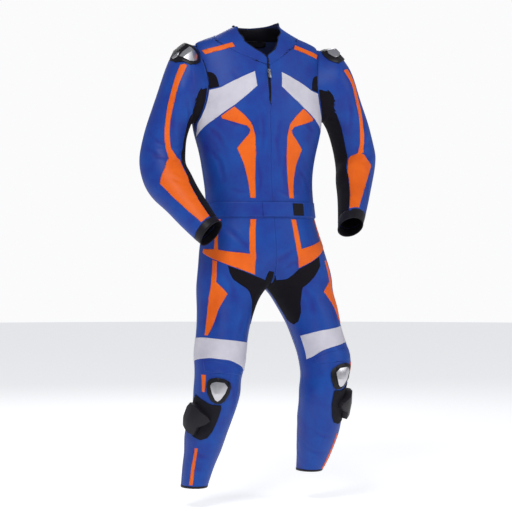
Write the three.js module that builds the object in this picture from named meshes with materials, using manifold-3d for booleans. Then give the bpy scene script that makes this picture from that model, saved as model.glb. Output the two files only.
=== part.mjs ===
// Motorcycle race suit: a two-piece leather suit, filled out as it is worn, in millimetres.
// The origin is at the base of the neck, +Z is up, the front faces -Y and the wearer's left is +X.
import * as THREE from 'three'
import { mergeVertices } from 'three/addons/utils/BufferGeometryUtils.js'
import Module from 'manifold-3d'

const wasm = await Module()
wasm.setup()

// Cloth and seams
const cloth = 1.6
const seam = 0.4
const rest = 0.45
const applique = 1.1
const radians = Math.PI / 180

// A table of named columns: one object for each row.
function table(columns, rows) {
  const names = columns.split(' ')
  return rows.map((row) => Object.fromEntries(names.map((name, i) => [name, row[i]])))
}

// Torso rings: height, middle, half width, depth in front, depth behind, and how pointed the sides are.
const torsoRings = table('z middle half front back point', [
  [58, -6, 62, 50, 58, 1],
  [38, -6, 73, 54, 63, 1],
  [18, -6, 104, 60, 71, 1.04],
  [0, -6, 146, 67, 80, 1.1],
  [-14, -6, 184, 75, 88, 1.15],
  [-36, -6, 202, 84, 97, 1.14],
  [-66, -6, 206, 93, 105, 1.08],
  [-110, -6, 205, 105, 112, 1],
  [-160, -6, 202, 115, 117, 0.94],
  [-210, -6, 202, 122, 117, 0.9],
  [-250, -6, 200, 126, 113, 0.9],
  [-285, -5, 195, 127, 109, 0.92],
  [-322, -4, 185, 126, 105, 0.94],
  [-365, -4, 176, 124, 101, 0.95],
  [-410, -3, 169, 122, 98, 0.95],
  [-455, 0, 166, 121, 97, 0.95],
  [-495, 3, 167, 122, 99, 0.95],
  [-536, 5, 170, 124, 103, 0.95],
])

// Hip rings of the trousers, whose top lies just inside the jacket's hem.
const hipRings = table('z middle half front back point', [
  [-512, 3.8, 166.3, 120.8, 98.7, 0.95],
  [-540, 5.1, 168, 122, 101.1, 0.95],
  [-566, 6, 176, 124, 107, 0.95],
  [-600, 7, 186, 129, 116, 0.95],
  [-640, 10, 193, 132, 123, 0.96],
  [-680, 13, 199, 133, 127, 0.97],
  [-715, 17, 205, 132, 128, 0.98],
  [-741, 20, 208, 130, 127, 1],
])

// Leg rings: height, middle across, middle front to back, half width and half depth.
const rightLegRings = table('z x y half depth', [
  [-600, -80, 0, 100, 104],
  [-741, -86, 0, 105, 105],
  [-762, -95, -1, 96, 104],
  [-799, -106, -8, 86, 100],
  [-840, -116, -18, 79, 96],
  [-880, -125, -28, 76, 92],
  [-921, -134, -38, 76, 89],
  [-961, -139, -46, 75, 86],
  [-1002, -144, -52, 70, 84],
  [-1043, -149, -54, 67, 80],
  [-1084, -155, -48, 65, 76],
  [-1125, -163, -38, 64, 74],
  [-1168, -173, -26, 62, 71],
  [-1210, -178, -14, 56, 66],
  [-1253, -186, -2, 49, 60],
  [-1290, -192, 8, 43, 53],
  [-1335, -198, 16, 38, 47],
])
const leftLegRings = table('z x y half depth', [
  [-600, 118, 0, 100, 104],
  [-741, 127, 0, 104, 105],
  [-762, 137, -1, 97, 104],
  [-801, 151, -12, 90, 101],
  [-843, 162, -28, 81, 97],
  [-884, 169, -46, 77, 93],
  [-925, 179, -64, 77, 91],
  [-966, 181, -80, 77, 88],
  [-1007, 175, -90, 70, 85],
  [-1049, 169, -88, 66, 81],
  [-1092, 169, -74, 66, 77],
  [-1135, 174, -54, 66, 74],
  [-1180, 178, -32, 62, 71],
  [-1225, 178, -10, 55, 66],
  [-1260, 177, 8, 47, 59],
  [-1300, 173, 26, 38, 49],
])

// Sleeve rings: the outer point, the inner point and the half depth. Ring 0 is the armhole itself.
const sleeveRingColumns = 'ox oy oz ix iy iz depth'
const rightSleeveRings = table(sleeveRingColumns, [
  [-238, 0, -22, -209, 0, -256, 80],
  [-264, 0, -46, -211, 0, -255, 82],
  [-290, 0, -98, -213, 0, -259, 80],
  [-312, 5, -166, -216, 5, -268, 74],
  [-333, 10, -228, -221, 10, -287, 70],
  [-348, 18, -288, -227, 18, -314, 66],
  [-361, 20, -345, -228, 20, -338, 65],
  [-364, 8, -400, -228, 8, -364, 66],
  [-351, -16, -455, -228, -16, -396, 65],
  [-328, -42, -491, -221, -42, -424, 61],
  [-303, -66, -522, -211, -66, -450, 56],
  [-279, -90, -553, -196, -90, -486, 51],
  [-251, -118, -587, -179, -118, -528, 46],
  [-228, -140, -612, -165, -140, -553, 42],
])
const leftSleeveRings = table(sleeveRingColumns, [
  [238, 0, -22, 205, 0, -243, 80],
  [265, 0, -46, 209, 0, -241, 82],
  [290, 0, -84, 214, 0, -241, 80],
  [314, 5, -145, 223, 5, -250, 74],
  [340, 10, -199, 233, 10, -266, 70],
  [362, 17, -250, 246, 17, -292, 66],
  [379, 23, -300, 256, 23, -322, 65],
  [389, 24, -345, 262, 24, -353, 66],
  [380, 6, -384, 257, 6, -385, 65],
  [363, -22, -420, 247, -22, -419, 61],
  [344, -50, -452, 237, -50, -452, 56],
  [324, -80, -484, 226, -80, -484, 51],
  [300, -116, -523, 211, -116, -521, 46],
  [272, -152, -564, 197, -152, -560, 42],
])

// Armholes: the middle of each, its half height, and its half width as an angle round the torso.
const armholes = {
  right: { middle: -141, rise: 117, spread: 32 },
  left: { middle: -134, rise: 111, spread: 32 },
}

// Catmull-Rom value between the rows of a table, at a row number that may be a fraction.
function between(rows, at, name) {
  const last = rows.length - 1
  const i = Math.max(0, Math.min(last - 1, Math.floor(at)))
  const t = at - i
  const value = (k) => rows[Math.max(0, Math.min(last, k))][name]
  const [a, b, c, d] = [value(i - 1), value(i), value(i + 1), value(i + 2)]
  return b + 0.5 * t * (c - a + t * (2 * a - 5 * b + 4 * c - d + t * (3 * (b - c) + d - a)))
}

// The whole row of a table whose first column is a falling height.
function ringAt(rows, z) {
  let i = 0
  while (i < rows.length - 2 && rows[i + 1].z > z) i += 1
  const at = i + (rows[i].z - z) / (rows[i].z - rows[i + 1].z)
  const ring = Object.fromEntries(Object.keys(rows[0]).map((name) => [name, between(rows, at, name)]))
  return { ...ring, z }
}

// A point on a ring round the body: the angle is 0 in front and 90 on the wearer's left.
function bodyPoint(ring, angle) {
  const across = Math.sin(angle * radians)
  const ahead = Math.cos(angle * radians)
  const bend = (value) => Math.sign(value) * Math.abs(value) ** ring.point
  const depth = ahead > 0 ? ring.front : ring.back
  return new THREE.Vector3(ring.middle + ring.half * bend(across), -depth * bend(ahead), ring.z)
}
const torsoPoint = (angle, z) => bodyPoint(ringAt(torsoRings, z), angle)

// The largest folds of the legs and sleeves: where each is, how far it stands out, and how far it spreads
// along the limb and round it. Those of the leg are where the knee bends and the calf gathers.
const foldColumns = 'angle at out along round'
const legFolds = table(foldColumns, [
  [180, -985, -7, 26, 60],
  [165, -1035, 6, 24, 55],
  [195, -1085, -6, 26, 60],
  [-60, -1010, -4, 22, 40],
  [-50, -1065, 4, 22, 40],
  [-40, -1150, -4, 26, 45],
  [150, -1165, 4, 26, 50],
  [0, -1190, 4, 26, 40],
  [170, -1240, -4, 24, 60],
  [60, -1260, 3, 22, 40],
])
const sleeveFolds = table(foldColumns, [
  [-30, 2.6, -5, 1.1, 22],
  [8, 3.4, 4, 1.3, 18],
  [-60, 7.2, 5, 0.7, 50],
  [-75, 8.2, -6, 0.6, 60],
  [-60, 9.2, 5, 0.7, 50],
  [170, 7.8, 4, 1.2, 45],
  [150, 10.6, -3, 0.8, 50],
])
function foldsAt(folds, angle, at) {
  return folds.reduce((sum, fold) => {
    const round = ((((angle - fold.angle + 180) % 360) + 360) % 360) - 180
    const away = ((at - fold.at) / fold.along) ** 2 + (round / fold.round) ** 2
    return sum + fold.out * Math.exp(-away)
  }, 0)
}

// A point on one trouser leg: 0 in front, 90 at the side seam, and -90 or 270 at the inseam.
// Above the crotch the ring opens out until its two ends lie at the middle of the front and of the back.
const crotch = -741
const forkTop = -600
function legPoint(side, angle, z) {
  const hip = bodyPoint(ringAt(hipRings, Math.max(z, crotch)), side * (45 + angle / 2))
  const fork = Math.min(1, Math.max(0, (forkTop - z) / (forkTop - crotch)))
  const inner = ((1 - Math.sin(angle * radians)) / 2) ** 2
  const soft = fork * fork * (3 - 2 * fork)
  const share = inner * (1 - Math.sqrt(1 - fork * fork)) + (1 - inner) * soft
  const leg = ringAt(side < 0 ? rightLegRings : leftLegRings, Math.min(z, forkTop))
  const fold = foldsAt(legFolds, angle, z)
  const across = leg.x + side * (leg.half + fold) * Math.sin(angle * radians)
  const ahead = leg.y - (leg.depth + fold) * Math.cos(angle * radians)
  return new THREE.Vector3(hip.x + (across - hip.x) * share, hip.y + (ahead - hip.y) * share, z)
}

// A point on a sleeve: 0 in front, 90 outside and -90 inside. The ring number may be a fraction.
const armholeInset = 1.5
function armholePoint(side, angle, inset = 0) {
  const hole = side < 0 ? armholes.right : armholes.left
  const shrink = 1 - inset / hole.rise
  const round = 90 - hole.spread * shrink * Math.cos(angle * radians)
  return [side * round, hole.middle + hole.rise * shrink * Math.sin(angle * radians)]
}
function sleevePoint(side, angle, ring) {
  const rows = side < 0 ? rightSleeveRings : leftSleeveRings
  const read = (at, name) => between(rows, at, name)
  const outer = (at) => new THREE.Vector3(read(at, 'ox'), read(at, 'oy'), read(at, 'oz'))
  const inner = (at) => new THREE.Vector3(read(at, 'ix'), read(at, 'iy'), read(at, 'iz'))
  const middle = (at) => outer(at).add(inner(at)).multiplyScalar(0.5)
  const at = Math.max(0, ring - 1)
  const along = middle(Math.min(at + 0.5, rows.length - 1)).sub(middle(Math.max(at - 0.5, 0)))
  const across = outer(at).sub(inner(at)).multiplyScalar(0.5)
  const ahead = new THREE.Vector3().crossVectors(along, across).normalize()
  ahead.multiplyScalar(Math.sign(-ahead.y) * read(at, 'depth'))
  const fold = foldsAt(sleeveFolds, angle, ring)
  const point = middle(at).addScaledVector(across, Math.sin(angle * radians) * (1 + fold / across.length()))
  point.addScaledVector(ahead, Math.cos(angle * radians) * (1 + fold / read(at, 'depth')))
  if (ring >= 1) return point
  return torsoPoint(...armholePoint(side, angle, armholeInset)).lerp(point, ring)
}

// A grid of points on a form, with the outward normal at each. Its columns and rows are marked in the
// form's own angles and heights, so that a pattern piece can be drawn on it.
function gridOf(columns, rows, pointAt) {
  const points = rows.map((row) => columns.map((column) => pointAt(column, row)))
  const nearby = 2
  const slope = (before, after) => after.clone().sub(before)
  const normals = rows.map((row, r) => {
    const reach = 0.2 * (rows[Math.min(r + 1, rows.length - 1)] - rows[Math.max(r - 1, 0)])
    const first = r > 0 ? row - reach : row
    return columns.map((column) => {
      const round = slope(pointAt(column - nearby, row), pointAt(column + nearby, row))
      const down = slope(pointAt(column, first), pointAt(column, row + reach))
      return new THREE.Vector3().crossVectors(round, down).normalize()
    })
  })
  const all = points.flat()
  const middle = all.reduce((sum, p) => sum.add(p), new THREE.Vector3()).divideScalar(all.length).setZ(0)
  const outward = all.reduce((sum, p, i) => {
    const level = new THREE.Vector3(p.x, p.y, 0).sub(middle)
    return sum + normals[Math.floor(i / columns.length)][i % columns.length].dot(level)
  }, 0)
  normals.flat().forEach((normal) => normal.multiplyScalar(Math.sign(outward)))
  const cells = []
  for (let r = 0; r < rows.length - 1; r += 1) {
    for (let c = 0; c < columns.length - 1; c += 1) {
      cells.push([[c, r], [c + 1, r], [c + 1, r + 1]], [[c, r], [c + 1, r + 1], [c, r + 1]])
    }
  }
  return { columns, rows, points, normals, cells }
}

// The parts of an outline on the kept side of a line from a to b. What leaves the kept side is joined
// along the line to the nearest place where the outline comes back.
const turn = (a, b, p) => (b[0] - a[0]) * (p[1] - a[1]) - (b[1] - a[1]) * (p[0] - a[0])
function keepSide(outline, a, b, way) {
  const onLine = 1e-6
  const side = outline.map((p) => {
    const value = way * turn(a, b, p)
    return Math.abs(value) < onLine ? 0 : value
  })
  if (side.every((value) => value >= 0)) return [outline]
  const count = outline.length
  const start = side.findIndex((value, i) => value >= 0 && side[(i + count - 1) % count] < 0)
  if (start < 0) return []
  const crossing = (i, j) => {
    const t = side[i] / (side[i] - side[j])
    return [0, 1].map((k) => outline[i][k] + t * (outline[j][k] - outline[i][k]))
  }
  const chains = []
  for (let step = 0; step < count; step += 1) {
    const i = (start + step) % count
    const last = (i + count - 1) % count
    if (side[i] < 0) continue
    if (side[last] < 0) chains.push([crossing(last, i)])
    chains.at(-1).push(outline[i])
    const next = (i + 1) % count
    if (side[next] < 0) chains.at(-1).push(crossing(i, next))
  }
  const along = (p) => (p[0] - a[0]) * (b[0] - a[0]) + (p[1] - a[1]) * (b[1] - a[1])
  const ends = chains.flatMap((chain, k) => [
    { chain: k, place: along(chain[0]) }, { chain: k, place: along(chain.at(-1)), leaves: true },
  ]).sort((p, q) => p.place - q.place)
  const after = new Map()
  for (let k = 0; k < ends.length; k += 2) {
    const [first, second] = ends[k].leaves ? [ends[k], ends[k + 1]] : [ends[k + 1], ends[k]]
    after.set(first.chain, second.chain)
  }
  const kept = []
  const used = new Set()
  chains.forEach((_, k) => {
    const joined = []
    for (let at = k; at !== undefined && !used.has(at); at = after.get(at)) {
      used.add(at)
      joined.push(...chains[at])
    }
    if (joined.length > 2) kept.push(joined)
  })
  return kept
}

// The parts of a drawn outline that lie inside one triangle of the grid.
function clip(outline, triangle) {
  const way = Math.sign(turn(...triangle))
  const edges = triangle.map((corner, k) => [corner, triangle[(k + 1) % 3]])
  return edges.reduce((parts, [a, b]) => parts.flatMap((part) => keepSide(part, a, b, way)), [outline])
}

// A closed solid from a sheet of triangles: each vertex has a point, a normal and two heights, and the
// sheet is laid once at each height above its surface.
function solidOf(vertices, triangles) {
  const place = (vertex, height) => vertex.point.clone().addScaledVector(vertex.normal, height)
  const count = vertices.length
  const positions = [...vertices.map((v) => place(v, v.high)), ...vertices.map((v) => place(v, v.low))]
  const edges = new Set(triangles.flatMap(([a, b, c]) => [`${a},${b}`, `${b},${c}`, `${c},${a}`]))
  const faces = triangles.flatMap(([a, b, c]) => [[a, b, c], [a + count, c + count, b + count]])
  for (const edge of edges) {
    const [a, b] = edge.split(',').map(Number)
    if (edges.has(`${b},${a}`)) continue
    faces.push([a, a + count, b + count], [a, b + count, b])
  }
  const volume = faces.reduce((sum, [a, b, c]) => {
    const cross = new THREE.Vector3().crossVectors(positions[b], positions[c])
    return sum + positions[a].dot(cross)
  }, 0)
  const outward = volume < 0 ? faces.map(([a, b, c]) => [a, c, b]) : faces
  const geometry = new THREE.BufferGeometry().setFromPoints(positions)
  geometry.setIndex(outward.flat())
  geometry.computeVertexNormals()
  return geometry
}

// A pattern piece: the outline drawn on a grid, laid between two heights above the form. A height is a
// number or a function of the mark.
function panel(grid, outline, low, high) {
  const vertices = []
  const triangles = []
  const known = new Map()
  const flat = (corner) => [grid.columns[corner[0]], grid.rows[corner[1]]]
  const box = new THREE.Box2().setFromPoints(outline.map(([x, y]) => new THREE.Vector2(x, y)))
  for (const cell of grid.cells) {
    const triangle = cell.map(flat)
    const cellBox = new THREE.Box2().setFromPoints(triangle.map(([x, y]) => new THREE.Vector2(x, y)))
    if (!box.intersectsBox(cellBox)) continue
    for (const kept of clip(outline, triangle)) {
      const numbers = kept.map((p) => {
        const key = `${Math.round(p[0] * 2000)},${Math.round(p[1] * 2000)}`
        if (!known.has(key)) {
          known.set(key, vertices.length)
          const heights = { low: heightAt(low, p), high: heightAt(high, p) }
          vertices.push({ ...onCell(grid, cell, triangle, p), ...heights })
        }
        return known.get(key)
      })
      triangles.push(...facesOf(numbers, vertices))
    }
  }
  return solidOf(vertices, triangles)
}
const heightAt = (height, mark) => (typeof height === 'function' ? height(mark) : height)

// The triangles that fill one flat outline of numbered vertices.
function facesOf(numbers, vertices) {
  const ring = numbers.filter((n, i) => n !== numbers[(i + 1) % numbers.length])
  if (ring.length < 3) return []
  const marks = ring.map((n) => new THREE.Vector2(...vertices[n].mark))
  if (Math.abs(THREE.ShapeUtils.area(marks)) < 1e-6) return []
  if (THREE.ShapeUtils.isClockWise(marks)) {
    ring.reverse()
    marks.reverse()
  }
  return THREE.ShapeUtils.triangulateShape(marks, []).map((face) => face.map((i) => ring[i]))
}

// The point and normal of a place inside one triangle of the grid.
function onCell(grid, cell, triangle, [x, y]) {
  const [a, b, c] = triangle
  const whole = (b[0] - a[0]) * (c[1] - a[1]) - (b[1] - a[1]) * (c[0] - a[0])
  const second = ((x - a[0]) * (c[1] - a[1]) - (y - a[1]) * (c[0] - a[0])) / whole
  const third = ((b[0] - a[0]) * (y - a[1]) - (b[1] - a[1]) * (x - a[0])) / whole
  const shares = [1 - second - third, second, third]
  const mix = (layer) => {
    const corners = cell.map(([column, row]) => layer[row][column])
    return corners.reduce((sum, corner, i) => sum.addScaledVector(corner, shares[i]), new THREE.Vector3())
  }
  return { mark: [x, y], point: mix(grid.points), normal: mix(grid.normals) }
}

// Even steps from one value to another, both ends included.
function steps(first, last, count) {
  return Array.from({ length: count + 1 }, (_, i) => first + ((last - first) * i) / count)
}

// Pieces of the body are parted by half a seam at each side, and those of a limb by the same width.
const bodyRadius = 200
const limbRadius = 75
const seamAngle = (seam / 2 / bodyRadius) / radians
const legSeamAngle = (seam / 2 / limbRadius) / radians

// Columns of a grid between seams, so that a piece that ends at a seam ends on a column.
function columnsBetween(seams, gap, counts) {
  return counts.flatMap((count, i) => steps(seams[i] + gap, seams[i + 1] - gap, count))
}

// Grids of the three forms. A grid that closes on itself is marked over two turns, so that a piece may
// be drawn across its join.
const stretchSeams = [-45, -135]
const torsoHeights = [58, 34, 6, -14, -38, -76, -120, -165, -210, -250, -290, -335, -385, -435, -485, -536]
const legHeights = [
  -512, -540, -580, -625, -665, -700, -726, -741, -765, -800, -845, -890, -935, -975, -1010, -1045, -1085,
  -1130, -1175, -1225, -1270,
]
const sleeveEnd = 13.35
const cuffStart = sleeveEnd + 0.01
const sleeveMarks = [0, 0.4, 1, 2, 3, 4.2, 5.4, 6.6, 7.6, 8.6, 9.6, 10.8, 12, sleeveEnd, cuffStart, 14]
const torsoColumns = columnsBetween([-180, -90, 90, 270, 450, 540], seamAngle, [8, 16, 16, 16, 8])
const legColumns = columnsBetween([-90, 90, 270], legSeamAngle, [8, 8])
const sleeveColumns = columnsBetween([-180, -135, -45, 225, 315, 540], legSeamAngle, [2, 4, 12, 4, 10])
const torso = gridOf(torsoColumns, torsoHeights, torsoPoint)
const sides = [
  { name: 'right', way: -1, kneeRise: 0, padRise: 0, hem: -1333 },
  { name: 'left', way: 1, kneeRise: 30, padRise: 36, hem: -1300 },
]
for (const side of sides) {
  side.leg = gridOf(legColumns, [...legHeights, side.hem], (angle, z) => legPoint(side.way, angle, z))
  side.sleeve = gridOf(sleeveColumns, sleeveMarks, (angle, ring) => sleevePoint(side.way, angle, ring))
}

// Materials
function finish(color, roughness, metalness = 0) {
  return new THREE.MeshStandardMaterial({ color, roughness, metalness })
}
const blue = finish('#1f4aa3', 0.42)
const orange = finish('#e2631e', 0.42)
const white = finish('#cdcdd5', 0.45)
const black = finish('#17161f', 0.6)
const stretch = finish('#15151f', 0.85)
const lining = finish('#1a2140', 0.9)
const plate = finish('#b9b4b8', 0.35, 0.6)
const moulded = finish('#1c1a20', 0.5)
const metal = finish('#9b9ba2', 0.3, 0.9)

const suit = new THREE.Group()
function add(name, geometry, material) {
  const mesh = new THREE.Mesh(geometry, material)
  mesh.name = name
  suit.add(mesh)
  return mesh
}

// Layers: a wall lies inside its form, and what is sewn on lies just outside it.
const wall = (grid, outline) => panel(grid, outline, -cloth, 0)
const sewn = (grid, outline, low = rest, thick = applique) => panel(grid, outline, low, low + thick)
const inside = (grid, outline) => panel(grid, outline, -cloth - rest - applique, -cloth - rest)

// The neckline and the collar's seam, round from the back of the neck, to the wearer's right, the front
// and the wearer's left: angle and height.
const neckline = [
  [-180, 41], [-110, 39], [-85, 38], [-55, 30], [-30, 3], [-19, -23], [-10, -41], [0, -57],
  [9, -37], [19, 1], [46, 36], [75, 52], [105, 52], [140, 46], [180, 41],
]
const collarSeam = [
  [-180, 10], [-110, 8], [-80, 3], [-56, -10], [-36, -34], [-22, -58], [-10, -74], [0, -86],
  [10, -70], [24, -38], [44, -4], [75, 12], [110, 14], [145, 12], [180, 10],
]

// Where a line of angle and height stands at one angle.
function heightOn(line, angle) {
  const i = line.findIndex(([a], k) => k > 0 && a >= angle)
  const [[a, low], [b, high]] = [line[i - 1], line[i]]
  return low + ((high - low) * (angle - a)) / (b - a)
}

// The part of a line between two angles, moved by a height.
function stretchOf(line, first, last, lift) {
  const kept = line.filter(([angle]) => angle > first && angle < last)
  return [[first, heightOn(line, first)], ...kept, [last, heightOn(line, last)]].map(([a, z]) => [a, z + lift])
}

// Collar, with the two ends of its band at the zip
const collarEnd = 0.5
const collarTop = stretchOf(neckline, collarEnd - 180, 180 - collarEnd, 0)
const turned = (line) => [
  ...line.filter(([angle]) => angle > collarEnd),
  ...line.filter(([angle]) => angle < -collarEnd).map(([angle, z]) => [angle + 360, z]),
]
function roundFront(line, lift) {
  const start = [collarEnd, heightOn(line, collarEnd)]
  const stop = [360 - collarEnd, heightOn(line, -collarEnd)]
  return [start, ...turned(line), stop].map(([angle, z]) => [angle, z + lift])
}
const collarOutline = [...roundFront(neckline, 0), ...roundFront(collarSeam, seam / 2).reverse()]
add('collar', wall(torso, collarOutline), blue)

// Jacket fronts, from the zip to the side seam, with half the armhole cut out of each
const jacketHem = torsoHeights.at(-1)
const zipEdge = [[0.35, -95], [0.8, -112], [0.8, -150], [0.14, -205]]
for (const { name, way } of sides) {
  const armhole = steps(-90, 90, 12).map((angle) => armholePoint(way, angle))
  const shoulder = way * (90 - seamAngle)
  const span = way < 0 ? [shoulder, -collarEnd] : [collarEnd, shoulder]
  const top = stretchOf(collarSeam, ...span, -seam / 2)
  const outline = [
    [way * seamAngle * 2, jacketHem],
    [shoulder, jacketHem],
    ...armhole.map(([angle, z]) => [way * Math.min(way * angle, way * shoulder), z]),
    ...(way < 0 ? top : top.reverse()),
    ...zipEdge.map(([angle, z]) => [way * angle, z]),
  ]
  add(`jacket_front_${name}`, wall(torso, outline), blue)
}

// Jacket back, between the two armholes
const backHole = (way) => steps(-90, 90, 12).map((angle) => {
  const [round, z] = armholePoint(way, 180 - angle)
  return [way < 0 ? round + 360 : round, z]
})
const backTop = [
  ...collarSeam.filter(([angle]) => angle > 90),
  ...collarSeam.filter(([angle]) => angle > -180 && angle < -90).map(([angle, z]) => [angle + 360, z]),
]
add('jacket_back', wall(torso, [
  [90 + seamAngle, jacketHem],
  ...backHole(1).map(([angle, z]) => [Math.max(angle, 90 + seamAngle), z]),
  [90 + seamAngle, heightOn(collarSeam, 90) - seam / 2],
  ...backTop.map(([angle, z]) => [angle, z - seam / 2]),
  [270 - seamAngle, heightOn(collarSeam, -90) - seam / 2],
  ...backHole(-1).reverse().map(([angle, z]) => [Math.min(angle, 270 - seamAngle), z]),
  [270 - seamAngle, jacketHem],
]), blue)

// Inside of the back of the neck: the collar's facing, and the lining below it
const facing = { first: 105, last: 255, below: 2, bottom: 6 }
const facingTop = collarTop
  .map(([angle, z]) => [angle < 0 ? angle + 360 : angle, z - facing.below])
  .filter(([angle]) => angle > facing.first && angle < facing.last)
  .sort((a, b) => a[0] - b[0])
add('collar_facing', inside(torso, [
  [facing.first, facingTop[0][1]], ...facingTop, [facing.last, facingTop.at(-1)[1]],
  [facing.last, facing.bottom], [facing.first, facing.bottom],
]), black)
const corners = ({ first, last, top, bottom }) => [[first, top], [last, top], [last, bottom], [first, bottom]]
const neckLining = { first: 120, last: 240, top: facing.bottom - 1, bottom: -80 }
add('neck_lining', inside(torso, corners(neckLining)), lining)

// Zip: the tape behind the edges of the fronts
const zipTape = { first: -3, last: 3, top: -92, bottom: -484 }
add('zip_tape', inside(torso, corners(zipTape)), black)

// White yokes, orange flames, shoulder stripes and stretch insets of the jacket: angle and height
const yoke = [
  [12, -105], [30, -134], [44, -156], [57, -162], [59.5, -190], [63, -214], [69.5, -238],
  [80, -262], [88, -296], [70, -273], [51, -248], [30, -208], [20, -181], [10, -149],
]
const chestFlame = [
  [30, -212], [44, -240], [43, -247], [20, -268], [17.5, -280], [19, -292], [32.5, -333], [27, -380],
  [24, -430], [23, -478], [17.5, -478], [16.5, -420], [14.5, -350], [13.5, -295], [15.5, -260], [21.5, -235],
]
const shoulderStripe = [[35, -19], [48.5, -32], [66, -43], [61, -56], [45.5, -45.5], [31, -32]]
const armholeStretch = [
  [58.5, -108], [54, -108], [49, -116], [46.5, -130], [45, -153], [57, -158.5], [56.8, -125],
]
for (const { name, way } of sides) {
  const mirrored = (outline) => outline.map(([angle, z]) => [way * angle, z])
  add(`chest_yoke_${name}`, sewn(torso, mirrored(yoke)), white)
  add(`chest_flame_${name}`, sewn(torso, mirrored(chestFlame)), orange)
  add(`shoulder_stripe_${name}`, sewn(torso, mirrored(shoulderStripe)), orange)
  add(`armhole_inset_${name}`, sewn(torso, mirrored(armholeStretch)), stretch)
}

// Belt: its strap goes round the hem, and its tab crosses the zip and carries the hook-and-loop patch
const beltBand = { top: -489, bottom: -533 }
const beltThick = 1.6
const tabRest = rest + beltThick + rest
const patchRest = tabRest + beltThick + rest
const patchBand = { first: 20, last: 34, top: -493, bottom: -529 }
add('belt', sewn(torso, corners({ ...beltBand, first: 14, last: 354 }), rest, beltThick), blue)
add('belt_tab', sewn(torso, corners({ ...beltBand, first: -11, last: 37 }), tabRest, beltThick), blue)
add('belt_patch', sewn(torso, corners(patchBand), patchRest), stretch)

// Sleeves: the leather from edge to edge of the stretch panel inside the arm, then the cuff
const [frontSeam, backSeam] = stretchSeams
const stretchFront = [
  [-8, 0], [-12, 0.6], [-30, 1.3], [frontSeam, 2.5], [frontSeam, 10], [-36, 11.4], [-32, 12.5],
  [-32, sleeveEnd],
]
const stretchBack = [[-155, 0], [backSeam, 2.5], [backSeam, sleeveEnd]]
const flameEnd = sleeveEnd - 0.1
const sleeveFlame = [
  [45, 2.3], [38, 3.2], [33, 4.3], [23.5, 5.4], [15, 6.3], [5, 7.2], [-3, 8.2], [10, 8.9], [27, 9.3],
  [37, 9.6], [34, 10.2], [29, 11.2], [20, 12.4], [12, flameEnd], [-29, flameEnd], [-29, 12.4], [-33, 11.4],
  [-41, 10.2], [-41, 9], [-37, 8.5], [-24, 8.1], [-12, 7.4], [-3.5, 6.7], [7, 5.6], [15, 4.7], [20, 3.6],
  [31, 1.8],
]
// A slanting seam needs more room in angle than one that runs along a column.
const room = (angle) => (stretchSeams.includes(angle) ? 1 : 2)
const moved = (line, by) => line.map(([angle, mark]) => [angle + by * room(angle), mark])
for (const { name, sleeve } of sides) {
  const edge = legSeamAngle
  const turnedBack = moved(stretchBack, -edge).map(([angle, mark]) => [angle + 360, mark])
  const leather = [...moved(stretchFront, edge), ...turnedBack.reverse()]
  const knit = [...moved(stretchFront, -edge), ...moved(stretchBack, edge).reverse()]
  const cuff = corners({
    first: frontSeam + edge, last: frontSeam + 360 - edge, top: cuffStart, bottom: sleeveMarks.at(-1),
  })
  add(`sleeve_${name}`, wall(sleeve, leather), blue)
  add(`sleeve_stretch_${name}`, wall(sleeve, knit), stretch)
  add(`cuff_${name}`, wall(sleeve, cuff), black)
  add(`sleeve_flame_${name}`, sewn(sleeve, sleeveFlame), orange)
}

// Trousers: front and back of each leg, from the side seam to the fork and the inseam
for (const { name, way, leg, hem } of sides) {
  const half = (first, last) => corners({
    first: first + legSeamAngle, last: last - legSeamAngle, top: legHeights[0], bottom: hem,
  })
  add(`trouser_front_${name}`, wall(leg, half(-90, 90)), blue)
  add(`trouser_back_${name}`, wall(leg, half(90, 270)), blue)
}

// What is sewn on the trousers: angle round the leg and height on the right leg
const hipFlame = {
  right: [
    [-42, -540], [-54, -540], [-53, -613], [-50, -655], [-38, -703], [-8, -687], [19, -671], [48, -654],
    [77, -638], [75, -627], [38, -628], [37, -613], [39, -540], [30, -540], [28, -613], [27, -629], [8, -634],
    [-12, -637], [-39, -641], [-41, -613],
  ],
  left: [
    [-42, -540], [-54, -540], [-53, -600], [-50, -633], [-38, -684], [-8, -664], [26, -638], [50, -624],
    [77, -612], [75, -600], [46, -602], [45, -590], [47, -540], [38, -540], [36, -590], [35, -603], [26, -605],
    [-12, -618], [-39, -627], [-41, -600],
  ],
}
const sideFlame = [
  [36, -664], [40, -690], [44, -724], [23, -759], [36, -806], [46, -856], [54, -880], [63, -880],
  [62, -838], [57, -766], [52, -709], [46, -658],
]
const thighStretch = {
  right: [
    [15, -676], [17, -696], [13, -717], [1, -734], [-16, -755], [-30, -778], [-41, -805], [-50, -825],
    [-60, -846], [-75, -852], [-87, -850], [-87, -694], [-75, -692], [-62, -719], [-37, -706], [-8, -690],
  ],
  left: [
    [14, -650], [17, -677], [4, -709], [-12, -738], [-19, -754], [-31, -787], [-39, -816], [-54, -842],
    [-70, -852], [-80, -846], [-87, -840], [-87, -705], [-80, -720], [-56, -716], [-37, -687],
  ],
}
const kneeBand = {
  right: [
    [115, -890], [60, -886], [0, -893], [-60, -903], [-89, -908], [-89, -968], [-64, -985], [-50, -978],
    [-30, -966], [0, -950], [43, -944], [80, -950], [115, -962],
  ],
  left: [
    [115, -888], [70, -884], [0, -896], [-15, -899], [-64, -915], [-66, -984], [-50, -976], [-23, -956],
    [0, -947], [43, -936], [80, -938], [115, -950],
  ],
}
const kneeFlap = [[-44, -980], [-12, -962], [36, -950], [60, -955], [56, -984], [10, -990], [-40, -996]]
const kneeStripe = [[53, -993], [66, -993], [62, -1043], [54, -1043]]
const shinStripe = [[38, -1209], [47, -1209], [46, -1322], [31, -1322]]
const binding = { first: -89, last: 269, wide: 7 }
const kneeTop = -880
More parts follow.
